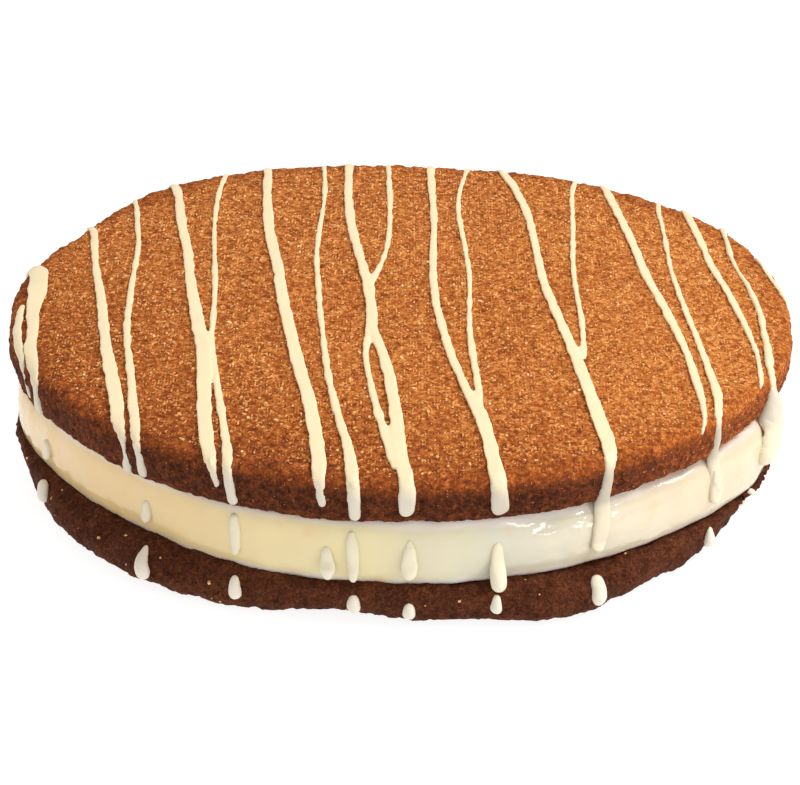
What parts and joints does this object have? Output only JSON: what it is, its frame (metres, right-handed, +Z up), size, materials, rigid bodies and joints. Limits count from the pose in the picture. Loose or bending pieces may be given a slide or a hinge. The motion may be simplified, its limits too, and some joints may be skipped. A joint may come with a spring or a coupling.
{
  "type": "gingerbread sandwich cookie",
  "caption": "Round gingerbread sandwich cookie: a thick cream layer between two dark baked biscuits, with white icing drizzled over the top and dripping down the side.",
  "frame": {"origin": "under the middle of the cookie, on the surface that it lies on", "axes": "+Z up through the layers, -Y the front that shows most, +X to the right as seen from the front"},
  "size_m": [0.0854, 0.0864, 0.0187],
  "materials": {
    "top_biscuit": "matt baked crumb, golden brown on top, dark brown at the side",
    "bottom_biscuit": "matt baked crumb, dark brown",
    "cream": "smooth satin cream",
    "icing": "satin to glossy dried sugar icing"
  },
  "bodies": {
    "root": {"bottom_biscuit": "bottom_biscuit", "cream_filling": "cream", "top_biscuit": "top_biscuit", "icing_strand_01": "icing", "icing_strand_02": "icing", "icing_strand_03": "icing", "icing_strand_04": "icing", "icing_strand_05": "icing", "icing_strand_06": "icing", "icing_strand_07": "icing", "icing_strand_08": "icing", "icing_strand_09": "icing", "icing_strand_10": "icing", "icing_strand_11": "icing", "icing_strand_12": "icing", "icing_strand_13": "icing", "icing_strand_14": "icing", "icing_strand_15": "icing", "icing_drop_01": "icing", "icing_drop_02": "icing", "icing_drop_03": "icing", "icing_drop_04": "icing", "icing_drop_05": "icing", "icing_drop_06": "icing", "icing_drop_07": "icing", "icing_drop_08": "icing", "icing_drop_09": "icing", "icing_drop_10": "icing", "icing_drop_11": "icing", "icing_drop_12": "icing", "icing_drop_13": "icing", "icing_drop_14": "icing", "icing_drop_15": "icing", "icing_drop_16": "icing", "icing_drop_17": "icing", "icing_drop_18": "icing", "icing_drop_19": "icing", "icing_drop_20": "icing", "icing_drop_21": "icing", "icing_drop_22": "icing", "icing_drop_23": "icing", "icing_drop_24": "icing"}
  },
  "joints": []
}
